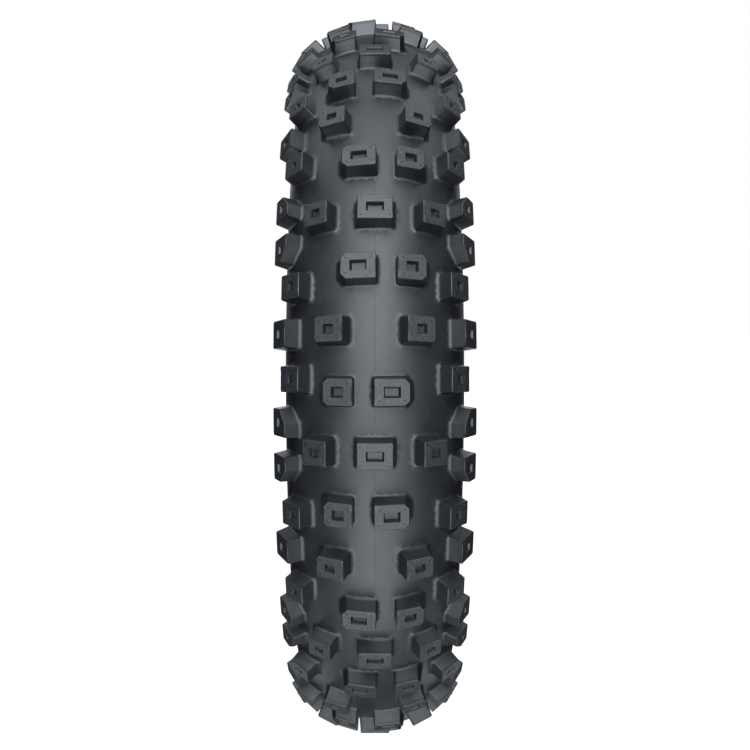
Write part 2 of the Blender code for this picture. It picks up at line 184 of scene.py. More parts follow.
SURFACE = even(0.0)
BREAKER_OUTER_TOP = TREAD_BASE + UNDERTREAD + 2.0 * GAP
BREAKER_INNER_TOP = BREAKER_OUTER_TOP + BREAKER + GAP
PLY_OUTER_CROWN = BREAKER_INNER_TOP + BREAKER + GAP
PLY_OUTER_SIDE = SIDEWALL + GAP
PLY_OUTER_TOP = Level(PLY_OUTER_CROWN, (PLY_OUTER_CROWN + PLY_OUTER_SIDE) / 2.0, PLY_OUTER_SIDE)
PLY_INNER_TOP = deeper(PLY_OUTER_TOP, PLY + GAP)
LINER_TOP = deeper(PLY_INNER_TOP, PLY + GAP)
RUBBER_UNDERSIDE = deeper(PLY_OUTER_TOP, -GAP)
TREAD_UNDERSIDE = RUBBER_UNDERSIDE._replace(crown=TREAD_BASE)

CHAFER_OUT = BEAD_HALF_WIDTH - CUSHION - GAP
PLY_OUTER_OUT = BEAD_HALF_WIDTH - PLY_OUTER_SIDE
PLY_INNER_OUT = PLY_OUTER_OUT - PLY - GAP
FLIPPER_OUT = PLY_INNER_OUT - PLY - GAP
CORE_OUT = FLIPPER_OUT - FLIPPER - GAP
CORE_IN = CORE_OUT - CORE_WIDTH
FLIPPER_IN = CORE_IN - GAP - FLIPPER
PLY_INNER_IN = FLIPPER_IN - GAP - PLY
CHAFER_IN = PLY_INNER_IN - GAP - CHAFER
TOE_IN = CHAFER_IN - GAP - CUSHION
FLIPPER_FOOT = CORE_FOOT_RADIUS - GAP - FLIPPER
PLY_FOOT = FLIPPER_FOOT - GAP - PLY
CHAFER_FOOT = PLY_FOOT - GAP - CHAFER
CORE_TOP_RADIUS = CORE_FOOT_RADIUS + CORE_HEIGHT
BEAD_INNER_TOP = CORE_TOP_RADIUS + 2.8 * MM  # where the strips on the bead's inner side end


# ---------------------------------------------------------------- materials


class Nodes:
    """Short calls for one material's node tree."""

    def __init__(self, name):
        self.material = bpy.data.materials.new(name)
        self.material.use_nodes = True
        self.tree = self.material.node_tree
        self.shader = self.tree.nodes["Principled BSDF"]

    def add(self, kind, **settings):
        node = self.tree.nodes.new(kind)
        for key, value in settings.items():
            setattr(node, key, value)
        return node

    def plug(self, socket, value):
        if isinstance(value, bpy.types.NodeSocket):
            self.tree.links.new(value, socket)
        else:
            socket.default_value = value

    def math(self, operation, *values):
        node = self.add("ShaderNodeMath", operation=operation)
        for socket, value in zip(node.inputs, values):
            self.plug(socket, value)
        return node.outputs[0]

    def hypot(self, first, second):
        squares = [self.math("MULTIPLY", value, value) for value in (first, second)]
        return self.math("SQRT", self.math("ADD", *squares))

    def place(self):
        return self.add("ShaderNodeTexCoord").outputs["Object"]

    def coordinates(self, place):
        """A place's y, which runs across the tyre, then its x, z and radius in the wheel's plane."""
        split = self.add("ShaderNodeSeparateXYZ")
        self.plug(split.inputs[0], place)
        x, y, z = split.outputs
        return y, x, z, self.hypot(x, z)

    def noise(self, vector, size, detail=3.0, roughness=0.55):
        """Noise from 0 to 1 whose patches are about size metres across."""
        node = self.add("ShaderNodeTexNoise")
        self.plug(node.inputs["Vector"], vector)
        node.inputs["Scale"].default_value = 1.0 / size
        node.inputs["Detail"].default_value = detail
        node.inputs["Roughness"].default_value = roughness
        return node.outputs["Fac"]

    def span(self, value, low, high, to_low, to_high):
        node = self.add("ShaderNodeMapRange", clamp=True)
        for socket, part in zip(node.inputs, (value, low, high, to_low, to_high)):
            self.plug(socket, part)
        return node.outputs["Result"]

    def blend(self, share, first, second):
        node = self.add("ShaderNodeMix", data_type="RGBA")
        self.plug(node.inputs["Factor"], share)
        for key, tone in (("A", first), ("B", second)):
            self.plug(node.inputs[key], tone if isinstance(tone, bpy.types.NodeSocket) else (*tone, 1.0))
        return node.outputs["Result"]

    def bump(self, height, distance, under=None):
        node = self.add("ShaderNodeBump")
        node.inputs["Strength"].default_value = 1.0
        node.inputs["Distance"].default_value = distance
        self.plug(node.inputs["Height"], height)
        if under is not None:
            self.plug(node.inputs["Normal"], under)
        return node.outputs["Normal"]


DRIFT_SIZE = 60.0 * MM
MOTTLE_SIZE = 5.0 * MM
PIT_SIZE = 2.2 * MM
SPECK_SIZE = 1.3 * MM
PIT_DEPTH = 1.2  # pits and knob-top grain, in grain depths
TOP_GRAIN_DEPTH = 3.0
PATCH_BLOOM = 1.5  # brightness of mottled patches, edges and knob-top specks, against the rubber's own
EDGE_BLOOM = 2.2
SPECK_BLOOM = 8.0
TOP_MASK_START = 10.5 * MM  # height over the tread band where a knob's top begins to be masked
TOP_MASK_END = 11.5 * MM
TRAILING_WALL_POLISH = 0.65  # roughness of a knob's trailing wall, against the rest


def shade(colour, factor):
    return tuple(channel * factor for channel in colour)


def rubber(name, colour, roughness, specular, grain_depth, grain_size=0.7 * MM, knobs=False):
    """Moulded rubber: fine grain, slow colour drift, and a paler bloom on edges. Knob tops are coarser."""
    nodes = Nodes(name)
    place = nodes.place()
    drift = nodes.noise(place, DRIFT_SIZE, 4.0)
    mottle = nodes.noise(place, MOTTLE_SIZE, 4.0, 0.65)
    grain = nodes.noise(place, grain_size, 3.0, 0.6)
    pits = nodes.noise(place, PIT_SIZE, 2.0)
    tone = nodes.blend(nodes.span(drift, 0.3, 0.7, 0.0, 1.0), shade(colour, 0.85), shade(colour, 1.15))
    tone = nodes.blend(nodes.span(mottle, 0.35, 0.75, 0.0, 0.5), tone, shade(colour, PATCH_BLOOM))
    edge = nodes.add("ShaderNodeNewGeometry").outputs["Pointiness"]
    tone = nodes.blend(nodes.span(edge, 0.52, 0.62, 0.0, 0.6), tone, shade(colour, EDGE_BLOOM))
    finish = nodes.span(mottle, 0.3, 0.7, roughness - 0.03, roughness + 0.03)
    normal = nodes.bump(pits, grain_depth * PIT_DEPTH, nodes.bump(grain, grain_depth))
    if knobs:
        tops = knob_top_mask(nodes, place)
        specks = nodes.noise(place, SPECK_SIZE, 2.0, 0.7)
        bright = nodes.math("MULTIPLY", nodes.span(specks, 0.54, 0.68, 0.0, 1.0), tops)
        tone = nodes.blend(bright, tone, shade(colour, SPECK_BLOOM))
        coarse = nodes.math("MULTIPLY", nodes.math("ADD", grain, specks), tops)
        normal = nodes.bump(coarse, grain_depth * TOP_GRAIN_DEPTH, normal)
        polish = nodes.span(trailing_mask(nodes, place), 0.6, 0.9, 1.0, TRAILING_WALL_POLISH)
        finish = nodes.math("MULTIPLY", finish, polish)
    nodes.plug(nodes.shader.inputs["Base Color"], tone)
    nodes.plug(nodes.shader.inputs["Roughness"], finish)
    nodes.shader.inputs["Specular IOR Level"].default_value = specular
    nodes.plug(nodes.shader.inputs["Normal"], normal)
    return nodes.material


def trailing_mask(nodes, place):
    """How squarely a surface faces back along the tread: 1 on a trailing wall, -1 on a leading one."""
    around = nodes.add("ShaderNodeVectorMath", operation="CROSS_PRODUCT")
    around.inputs[0].default_value = (0.0, 1.0, 0.0)
    nodes.plug(around.inputs[1], place)
    unit = nodes.add("ShaderNodeVectorMath", operation="NORMALIZE")
    nodes.plug(unit.inputs[0], around.outputs["Vector"])
    facing = nodes.add("ShaderNodeVectorMath", operation="DOT_PRODUCT")
    nodes.plug(facing.inputs[0], unit.outputs["Vector"])
    nodes.plug(facing.inputs[1], nodes.add("ShaderNodeNewGeometry").outputs["Normal"])
    return facing.outputs["Value"]


def knob_top_mask(nodes, place):
    """1 on what stands clear of the tread band by most of a knob's height, 0 below."""
    across, _, _, radius = nodes.coordinates(place)
    reach = nodes.hypot(across, nodes.math("SUBTRACT", radius, CROWN_CENTRE.y))
    return nodes.span(reach, BASE_ARC_RADIUS + TOP_MASK_START, BASE_ARC_RADIUS + TOP_MASK_END, 0.0, 1.0)


def cord_fabric(name, colour, pitch, angle, square=False):
    """Rubbered cord fabric: cords at an angle to the tyre's line, or a square weave."""
    nodes = Nodes(name)
    place = nodes.place()
    across, x, z, radius = nodes.coordinates(place)
    run = nodes.math("MULTIPLY", nodes.math("ARCTAN2", z, x), TIP_RADIUS)
    rise = nodes.math("SUBTRACT", across, radius)
    waves = []
    for lean in (angle, angle + math.pi / 2.0):
        run_part = nodes.math("MULTIPLY", run, math.sin(lean))
        rise_part = nodes.math("MULTIPLY", rise, math.cos(lean))
        phase = nodes.math("MULTIPLY", nodes.math("ADD", run_part, rise_part), math.pi / pitch)
        waves.append(nodes.math("ABSOLUTE", nodes.math("SINE", phase)))
    cords = nodes.math("MAXIMUM", *waves) if square else waves[0]
    fuzz = nodes.noise(place, 4.0 * MM, 3.0)
    tone = nodes.blend(nodes.span(cords, 0.2, 0.9, 0.0, 1.0), shade(colour, 0.35), colour)
    tone = nodes.blend(nodes.span(fuzz, 0.35, 0.7, 0.0, 0.4), tone, shade(colour, 0.6))
    nodes.plug(nodes.shader.inputs["Base Color"], tone)
    nodes.plug(nodes.shader.inputs["Roughness"], nodes.span(fuzz, 0.3, 0.7, 0.78, 0.92))
    nodes.plug(nodes.shader.inputs["Normal"], nodes.bump(cords, 0.15 * MM))
    return nodes.material


def coated_steel(name, colour):
    nodes = Nodes(name)
    drawn = nodes.noise(nodes.place(), 1.0 * MM, 3.0)
    tone = nodes.blend(nodes.span(drawn, 0.3, 0.7, 0.0, 1.0), shade(colour, 0.75), colour)
    nodes.plug(nodes.shader.inputs["Base Color"], tone)
    nodes.plug(nodes.shader.inputs["Roughness"], nodes.span(drawn, 0.3, 0.7, 0.28, 0.45))
    nodes.shader.inputs["Metallic"].default_value = 1.0
    nodes.plug(nodes.shader.inputs["Normal"], nodes.bump(drawn, 0.02 * MM))
    return nodes.material


# Rubbers take a colour, roughness, specular level, grain depth and grain size, and fabrics a colour,
# cord pitch and angle. Each key is the CAD slot that the look finishes.
LOOKS = {
    "tread_rubber": rubber("tread_rubber_fine", (0.0045, 0.005, 0.0058), 0.5, 0.8, 0.04 * MM, knobs=True),
    "sidewall_rubber": rubber("sidewall_rubber_fine", (0.011, 0.0118, 0.0132), 0.5, 0.85, 0.03 * MM),
    "rim_rubber": rubber("rim_rubber_fine", (0.012, 0.0125, 0.014), 0.5, 0.8, 0.025 * MM),
    "casing_rubber": rubber("casing_rubber_fine", (0.018, 0.018, 0.019), 0.66, 0.5, 0.05 * MM, 1.2 * MM),
    "filler_rubber": rubber("filler_rubber_fine", (0.014, 0.014, 0.015), 0.6, 0.45, 0.04 * MM),
    "ply_fabric": cord_fabric("ply_fabric_fine", (0.26, 0.215, 0.15), 1.1 * MM, math.radians(40.0)),
    "bead_fabric": cord_fabric("bead_fabric_fine", (0.12, 0.105, 0.085), 1.4 * MM, math.radians(45.0), True),
    "bead_steel": coated_steel("bead_steel_fine", (0.52, 0.42, 0.26)),
}


# ---------------------------------------------------------------- meshes


def piece(name, points, faces, look):
    """A shown piece from points and faces, shaded round, that stands for the CAD node of that name."""
    mesh = bpy.data.meshes.new(name + "_fine")
    mesh.from_pydata(points.tolist(), [], faces.tolist())
    mesh.materials.append(LOOKS[look])
    obj = bpy.data.objects.new(name + "_fine", mesh)
    bpy.context.scene.collection.objects.link(obj)
    shade_round(obj)
    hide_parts(name)
    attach(obj, "root")
    return obj


def shade_round(obj):
    """Smooth shading that keeps sharp edges and leans to the larger faces."""
    obj.data.shade_smooth()
    obj.data.set_sharp_from_angle(angle=SHARP_ANGLE)
    weigh = obj.modifiers.new("weigh normals", "WEIGHTED_NORMAL")
    weigh.keep_sharp = True


CORNER_FROM = math.radians(24.0)  # an outline's smaller turns are left as they are
CORNER_REACH = 0.45  # longest cut, as a share of the edge


def softened(outline, radius):
    """The outline with every real corner cut to a short curve, as far as its edges allow."""
    made = []
    count = len(outline)
    for i, corner in enumerate(outline):
        before, after = outline[i - 1] - corner, outline[(i + 1) % count] - corner
        turn = math.pi - before.angle(after)
        if turn < CORNER_FROM:
            made.append(corner)
            continue
        reach = min(radius * math.tan(turn / 2.0), before.length * CORNER_REACH, after.length * CORNER_REACH)
        start, end = corner + before.normalized() * reach, corner + after.normalized() * reach
        for share in (0.0, 0.25, 0.5, 0.75, 1.0):
            first, second = start.lerp(corner, share), corner.lerp(end, share)
            made.append(first.lerp(second, share))
    return made


def turned_mesh(outline, flats, relief=None):
    """Points and faces of a closed (y, r) outline turned round the axis. relief is how far each point
    stands out of the outline, as an array of outline points by flats."""
    section = np.array([tuple(point) for point in outline])
    following, previous = np.roll(section, -1, axis=0), np.roll(section, 1, axis=0)
    area = 0.5 * np.sum(section[:, 0] * following[:, 1] - following[:, 0] * section[:, 1])
    tangent = following - previous
    outward = np.stack([tangent[:, 1], -tangent[:, 0]], axis=1) * np.sign(area)
    outward /= np.linalg.norm(outward, axis=1, keepdims=True)
    angle = np.arange(flats) * 2.0 * math.pi / flats
    raised = np.zeros((len(section), flats)) if relief is None else relief(section, angle)
    across = section[:, :1] + outward[:, :1] * raised
    radius = section[:, 1:] + outward[:, 1:] * raised
    points = np.stack([radius * np.cos(angle), across, radius * np.sin(angle)], axis=2).reshape(-1, 3)
    i, j = np.meshgrid(np.arange(len(section)), np.arange(flats), indexing="ij")
    i_next, j_next = (i + 1) % len(section), (j + 1) % flats
    faces = np.stack([i * flats + j, i_next * flats + j, i_next * flats + j_next, i * flats + j_next], axis=2)
    faces = faces.reshape(-1, 4)
    return points, faces[:, ::-1] if area > 0.0 else faces


def ring(name, outline, look, flats=PLAIN_FLATS, relief=None):
    points, faces = turned_mesh(outline, flats, relief)
    piece(name, points, faces, look)


def ring_pair(name, outline, look, flats=PLAIN_FLATS, relief=None):
    ring(name + "_right", outline, look, flats, relief)
    ring(name + "_left", mirrored(outline), look, flats, relief)


# ---------------------------------------------------------------- knobs

# Turn and lean are in degrees, as in the CAD model. Width and the recess's width run across the tread,
# lengths along it. Fillet is the radius where the knob runs into the band.
Knob = namedtuple("Knob", "turn lean height width length recess_width recess_length recess_depth fillet")
KNOBS = {
    "centre": Knob(0.0, 0.0, KNOB_HEIGHT, 25.4 * MM, 18.8 * MM, 12.4 * MM, 6.8 * MM, 3.8 * MM, 2.4 * MM),
    "wide": Knob(7.1, 0.0, KNOB_HEIGHT, 25.2 * MM, 18.8 * MM, 11.6 * MM, 7.4 * MM, 3.8 * MM, 2.4 * MM),
    "narrow": Knob(15.8, 0.0, KNOB_HEIGHT, 21.2 * MM, 18.8 * MM, 8.6 * MM, 7.3 * MM, 3.8 * MM, 2.4 * MM),
    "inter": Knob(19.8, 19.8, KNOB_HEIGHT, 20.6 * MM, 17.7 * MM, 7.4 * MM, 6.6 * MM, 3.4 * MM, 3.1 * MM),
    "flank": Knob(26.4, 26.4, KNOB_HEIGHT, 18.4 * MM, 18.2 * MM, 6.6 * MM, 6.4 * MM, 3.0 * MM, 3.0 * MM),
    "shoulder": Knob(41.0, 41.0, 11.8 * MM, 17.6 * MM, 18.4 * MM, 5.8 * MM, 6.0 * MM, 2.4 * MM, 3.0 * MM),
    "side": Knob(57.0, 57.0, 11.2 * MM, 17.5 * MM, 20.0 * MM, 5.2 * MM, 6.0 * MM, 1.6 * MM, 2.4 * MM),
}
CHEVRON_OFFSET = 0.42  # in rows from a unit's centre
SHOULDER_OFFSET = 1.2
CHEVRON_CUT = (10.0 * MM, 8.0 * MM)  # along and across
OUTER_CUT = {"wide": 3.4 * MM, "narrow": 3.0 * MM, "inter": 1.6 * MM}
KNOB_DRAFT = math.tan(math.radians(5.0))
CORNER_RADIUS = 1.0 * MM
EDGE_BEVEL = 0.45 * MM
RECESS_EDGE = 0.2 * MM  # how far the recess's rim opens out at the top
RECESS_DRAFT = 0.21
RECESS_FLOOR_BEVEL = 0.3 * MM
RECESS_CORNER_RADIUS = 0.7 * MM
FILLET_RINGS = 3
FILLET_SINK = 0.03 * MM  # how far a fillet's rim lies inside the tread band
KNOB_ROOT = 1.5 * MM  # how far a knob's root reaches into the band
ROOT_SPREAD = 0.3 * MM  # how much wider the root is than the fillet's rim
ARC_POINTS = 3  # on each round corner
SIDE_POINTS = 2  # between two corners
SEARCH_STEPS = 6
DIMPLE_SIDES = 6
DIMPLE_RINGS = ((0.75 * MM, 0.4 * MM), (0.6 * MM, 0.0), (0.4 * MM, -0.6 * MM))  # radius and height
DIMPLE_INSET = 2.4 * MM
DIMPLE_SHIFT = 0.4  # further inset, as a share of the corner's cut


def knob_matrix(knob, row, side):
    """Knob frame to world: local X along the tread, Y away from mid crown, Z out of the top face."""
    angle = 2.0 * math.pi * row / ROWS
    outward = Vector((math.cos(angle), 0.0, math.sin(angle)))
    forward = Vector((-math.sin(angle), 0.0, math.cos(angle)))
    across = Vector((0.0, side, 0.0))
    turn = math.radians(knob.turn)
    lean = heading(turn)
    if turn <= CROWN_EDGE:
        top = CROWN_CENTRE + (BASE_ARC_RADIUS + knob.height) * lean
    else:
        top = SHOULDER_CENTRE + (SHOULDER_ARC_RADIUS + knob.height) * lean
    place = across * top.x + outward * top.y
    normal = across * lean.x + outward * lean.y
    sideways = across * lean.y - outward * lean.x
    columns = Matrix((forward, sideways, normal)).transposed()
    return Matrix.Translation(place) @ columns.to_4x4()


def height_over_base(points):
    """Distance of world points from the tread band's surface, outside positive."""
    across = np.abs(points[:, 1])
    radius = np.hypot(points[:, 0], points[:, 2])
    crown = np.hypot(across, radius - CROWN_CENTRE.y) - BASE_ARC_RADIUS
    shoulder = np.hypot(across - SHOULDER_CENTRE.x, radius - SHOULDER_CENTRE.y) - SHOULDER_ARC_RADIUS
    wall = np.hypot(across - WALL_CENTRE.x, radius - WALL_CENTRE.y) - WALL_ARC_RADIUS
    turn = np.arctan2(across, radius - CROWN_CENTRE.y)
    beside = np.where(radius >= SHOULDER_CENTRE.y, shoulder, wall)
    return np.where(turn <= CROWN_EDGE, crown, beside)


def leaning(flat, depth, slant):
    """Local points under (x, y) of the top at a local z of depth, moved along the knob's lean."""
    return np.column_stack([flat[:, 0], flat[:, 1] - slant * depth, depth])


def base_depth(flat, matrix, slant):
    """Local z of the tread band's surface under (x, y) points of a knob's top, found step by step."""
    depth = np.full(len(flat), -KNOB_HEIGHT)
    for _ in range(SEARCH_STEPS):
        local = leaning(flat, depth, slant)
        depth = depth - height_over_base(local @ matrix[:3, :3].T + matrix[:3, 3])
    return depth


def top_corners(knob, kind, cut):
    """Corners of a knob's top face, and for each the corner of the recess that it faces."""
    x, y = knob.length / 2.0, knob.width / 2.0
    corners = [((-x, -y), 0), ((x, -y), 1), ((x, y), 2), ((-x, y), 3)]
    outer = OUTER_CUT.get(kind)
    if outer:
        corners[2:] = [
            ((x, y - outer), 2),
            ((x - outer, y), 2),
            ((outer - x, y), 3),
            ((-x, y - outer), 3),
        ]
    along_cut, across_cut = CHEVRON_CUT
    if cut > 0:
        corners[1:2] = [((x - along_cut, -y), 1), ((x, across_cut - y), 1)]
    elif cut < 0:
        corners[0:1] = [((-x, across_cut - y), 0), ((along_cut - x, -y), 0)]
    return [np.array(place) for place, _ in corners], [which for _, which in corners]


def offset_outline(corners, offset, radius):
    """Convex corners moved out by offset with round corners, as points in order."""
    arcs = []
    count = len(corners)
    for i, corner in enumerate(corners):
        normals = []
        for start, end in ((corners[i - 1], corner), (corner, corners[(i + 1) % count])):
            run = (end - start) / np.linalg.norm(end - start)
            normals.append(np.array([run[1], -run[0]]))
        bisector = (normals[0] + normals[1]) / (1.0 + normals[0] @ normals[1])
        centre = corner + bisector * (offset - radius)
        first = math.atan2(normals[0][1], normals[0][0])
        turn = math.acos(min(1.0, float(normals[0] @ normals[1])))
        angles = first + turn * np.linspace(0.0, 1.0, ARC_POINTS)
        arcs.append(centre + radius * np.column_stack([np.cos(angles), np.sin(angles)]))
    return joined_arcs(arcs)


def joined_arcs(arcs):
    """Arcs in order, with evenly spaced points on the side after each."""
    made = []
    share = np.arange(1, SIDE_POINTS + 1)[:, None] / (SIDE_POINTS + 1)
    for i, arc in enumerate(arcs):
        made.append(arc)
        start, end = arc[-1], arcs[(i + 1) % len(arcs)][0]
        made.append(start + (end - start) * share)
    return np.concatenate(made)


def recess_outline(knob, facing, offset):
    """Rectangle of the recess, moved out by offset, point for point beside the top's outline."""
    x, y = knob.recess_length / 2.0 + offset, knob.recess_width / 2.0 + offset
    arcs = []
    for which, (sx, sy) in enumerate(((-1, -1), (1, -1), (1, 1), (-1, 1))):
        shared = facing.count(which)
        points = shared * ARC_POINTS + (shared - 1) * SIDE_POINTS
        angles = math.radians(180.0 + 90.0 * which) + np.linspace(0.0, math.pi / 2.0, points)
        centre = np.array([sx * (x - RECESS_CORNER_RADIUS), sy * (y - RECESS_CORNER_RADIUS)])
        arcs.append(centre + RECESS_CORNER_RADIUS * np.column_stack([np.cos(angles), np.sin(angles)]))
    return joined_arcs(arcs)


def flat_ring(flat, z):
    return np.column_stack([flat, np.full(len(flat), z)])


def knob_rings(knob, kind, cut, matrix):
    """Rings of local points from the recess's floor, over the top and down into the tread band."""
    corners, facing = top_corners(knob, kind, cut)
    rings = []
    for offset, z in (
        (-RECESS_DRAFT * knob.recess_depth - RECESS_FLOOR_BEVEL, -knob.recess_depth),
        (-RECESS_DRAFT * knob.recess_depth, -knob.recess_depth + RECESS_FLOOR_BEVEL),
        (RECESS_EDGE, 0.0),
    ):
        rings.append(flat_ring(recess_outline(knob, facing, offset), z))
    for offset, z in ((-EDGE_BEVEL, 0.0), (0.0, -EDGE_BEVEL)):
        rings.append(flat_ring(offset_outline(corners, offset, CORNER_RADIUS), z))
    slope = math.atan(KNOB_DRAFT)
    slant = math.tan(math.radians(knob.turn - knob.lean))
    fillet_start = knob.fillet * (1.0 - math.sin(slope))
    wall_spread = (knob.height - fillet_start) * KNOB_DRAFT
    centre_out = wall_spread + knob.fillet * math.cos(slope)
    for angle in np.linspace(math.pi + slope, 1.5 * math.pi, FILLET_RINGS):
        spread = centre_out + knob.fillet * math.cos(angle)
        rise = knob.fillet * (1.0 + math.sin(angle))
        flat = offset_outline(corners, spread, CORNER_RADIUS + spread)
        rings.append(leaning(flat, base_depth(flat, matrix, slant) + rise - FILLET_SINK, slant))
    flat = offset_outline(corners, centre_out + ROOT_SPREAD, CORNER_RADIUS + centre_out)
    rings.append(leaning(flat, base_depth(flat, matrix, slant) - KNOB_ROOT, slant))
    return rings


def loft(rings, flip):
    """Closed faces over rings of equal length, with a cap at each end."""
    count = len(rings[0])
    faces = [list(range(count))[::-1], [len(rings) * count - count + i for i in range(count)]]
    for low in range(0, (len(rings) - 1) * count, count):
        for i in range(count):
            after = (i + 1) % count
            faces.append([low + i, low + after, low + count + after, low + count + i])
    return faces if flip else [face[::-1] for face in faces]


def dimple_rings(x, y):
    """Rings of the cutter for a vent mark, a small pit with a slanted rim."""
    angles = np.arange(DIMPLE_SIDES) * 2.0 * math.pi / DIMPLE_SIDES
    circle = np.column_stack([np.cos(angles), np.sin(angles)])
    return [flat_ring(np.array([x, y]) + radius * circle, z) for radius, z in DIMPLE_RINGS]


def unit_knobs(unit):
    """(kind, row, side, cut) for the knobs of one four-row unit, centred on its single centre knob."""
    row = unit * ROWS_PER_UNIT
    narrow_side = -1 if unit % 2 == 0 else 1
    yield "centre", row, 1, 0
    for step in (-1, 1):
        yield "narrow", row + step, narrow_side, 0
        yield "wide", row + step, -narrow_side, 0
    for side in (-1, 1):
        yield "flank", row, side, 0
        yield "inter", row + 2, side, 0
        yield "side", row + 2, side, 0
        for step in (-1, 1):
            yield "shoulder", row + step * SHOULDER_OFFSET, side, 0
            yield "side", row + step * CHEVRON_OFFSET, side, step


class Lofts:
    """Closed lofts gathered into one helper mesh."""

    def __init__(self):
        self.points, self.faces = [], []

    def take(self, rings, matrix):
        start = sum(len(part) for part in self.points)
        self.points.append(np.concatenate(rings) @ matrix[:3, :3].T + matrix[:3, 3])
        flip = np.linalg.det(matrix[:3, :3]) > 0.0
        self.faces.extend([[start + i for i in face] for face in loft(rings, not flip)])

    def made(self, name):
        mesh = bpy.data.meshes.new(name)
        mesh.from_pydata(np.concatenate(self.points).tolist(), [], self.faces)
        helper = bpy.data.objects.new(name, mesh)
        bpy.context.scene.collection.objects.link(helper)
        return helper


def knobs_and_dimples():
    """All knobs as one helper, and the cutters for the pits near their corners as another."""
    blocks, pits = Lofts(), Lofts()
    for unit in range(ROWS // ROWS_PER_UNIT):
        for kind, row, side, cut in unit_knobs(unit):
            knob = KNOBS[kind]
            matrix = np.array(knob_matrix(knob, row, side))
            blocks.take(knob_rings(knob, kind, cut, matrix), matrix)
            inset = DIMPLE_INSET + OUTER_CUT.get(kind, 0.0) * DIMPLE_SHIFT
            for sx, sy in ((-1, 1), (1, 1), (1, -1), (-1, -1)):
                if sx == cut and sy == -1:
                    continue
                x, y = sx * (knob.length / 2.0 - inset), sy * (knob.width / 2.0 - inset)
                pits.take(dimple_rings(x, y), matrix)
    return blocks.made("knobs"), pits.made("dimples")


PARTING_RIDGE = 0.07 * MM
PARTING_HALF_WIDTH = 0.6 * MM
PARTING_STEP = 0.005  # in stations, like the next clearance and steps
PARTING_REACH = 6  # steps to each side, of which the ridge takes RIDGE_REACH
RIDGE_REACH = 4
PARTING_CLEARANCE = 0.06  # where the plain band's points begin
BAND_STEP = 0.13
UNDERSIDE_STEP = 0.3
BAND_EDGE_RADIUS = 0.9 * MM
MERGE_DISTANCE = 0.001 * MM
BAND_TOLERANCE = 0.02 * MM  # how close to the band's arcs a point counts as on the band
BAND_FACING = math.cos(math.radians(25.0))  # how squarely a corner must face as the band does
SLOPE_STEP = 0.01 * MM


def tread_outline():
    """Section of the tread band, with the mould's parting line raised along mid crown."""
    parting = []
    for i in range(PARTING_REACH, -PARTING_REACH - 1, -1):
        rise = PARTING_RIDGE * math.cos(min(1.0, abs(i) / RIDGE_REACH) * math.pi / 2.0)
        parting.append(section_point(even(-rise), i * PARTING_STEP))
    right = along(SURFACE, TREAD_END, PARTING_CLEARANCE, BAND_STEP)
    left = along(SURFACE, -PARTING_CLEARANCE, -TREAD_END, BAND_STEP)
    underside = along(TREAD_UNDERSIDE, -TREAD_END, TREAD_END, UNDERSIDE_STEP)
    return softened(right + parting + left + underside, BAND_EDGE_RADIUS)


def make_tread():
    """The tread band with the knobs joined on, their pits cut out and its normals set."""
    points, faces = turned_mesh(tread_outline(), FINE_FLATS)
    band = piece("tread_cap", points, faces, "tread_rubber")
    band.modifiers.clear()
    helpers = knobs_and_dimples()
    for operation, helper in zip(("UNION", "DIFFERENCE"), helpers):
        step = band.modifiers.new(helper.name, "BOOLEAN")
        step.operation = operation
        step.solver = "MANIFOLD"
        step.object = helper
    joined = bpy.data.meshes.new_from_object(evaluated(band))
    shape = bmesh.new()
    shape.from_mesh(joined)
    bmesh.ops.remove_doubles(shape, verts=shape.verts, dist=MERGE_DISTANCE)
    shape.to_mesh(joined)
    shape.free()
    band.modifiers.clear()
    band.data = joined
    for helper in helpers:
        bpy.data.objects.remove(helper, do_unlink=True)
    shade_round(band)
    bpy.context.view_layer.update()
    normals = read_vectors(evaluated(band).data.corner_normals, "vector")
    band.modifiers.clear()
    set_band_normals(joined, normals)


def evaluated(obj):
    return obj.evaluated_get(bpy.context.evaluated_depsgraph_get())


def read_vectors(collection, attribute):
    values = np.empty(len(collection) * 3)
    collection.foreach_get(attribute, values)
    return values.reshape(-1, 3)


def set_band_normals(mesh, normals):
    """Shades the tread band between the knobs by its true arcs, and the rest by the given corner normals."""
    points = read_vectors(mesh.vertices, "co")
    columns = []
    for step in np.eye(3) * SLOPE_STEP:
        columns.append(height_over_base(points + step) - height_over_base(points - step))
    slope = np.stack(columns, axis=1)
    slope /= np.linalg.norm(slope, axis=1, keepdims=True)
    on_band = np.abs(height_over_base(points)) < BAND_TOLERANCE
    on_band &= np.abs(points[:, 1]) > PARTING_HALF_WIDTH
    corner_vertex = np.empty(len(mesh.loops), dtype=int)
    mesh.loops.foreach_get("vertex_index", corner_vertex)
    facing = np.sum(normals * slope[corner_vertex], axis=1) > BAND_FACING
    chosen = on_band[corner_vertex] & facing
    normals[chosen] = slope[corner_vertex[chosen]]
    mesh.normals_split_custom_set(normals.tolist())


# ---------------------------------------------------------------- the other layers


UNDERTREAD_END = 2.6  # stations where the layers under the tread end
BREAKER_OUTER_END = 1.5
BREAKER_INNER_END = 1.63
THICKENING = (1.68, 1.75)  # where the undertread thickens beside the breakers


def make_undertread():
    upper = deeper(TREAD_UNDERSIDE, GAP)
    thin_end, thick_start = THICKENING
    lower = along(RUBBER_UNDERSIDE, -UNDERTREAD_END, -thick_start)
    lower += along(even(TREAD_BASE + GAP + UNDERTREAD), -thin_end, thin_end)
    lower += along(RUBBER_UNDERSIDE, thick_start, UNDERTREAD_END)
    ring("undertread", along(upper, UNDERTREAD_END, -UNDERTREAD_END) + lower, "casing_rubber")


def make_breakers():
    for name, top, end in (
        ("breaker_outer", BREAKER_OUTER_TOP, BREAKER_OUTER_END),
        ("breaker_inner", BREAKER_INNER_TOP, BREAKER_INNER_END),
    ):
        ring(name, strip(even(top), even(top + BREAKER), end), "ply_fabric")


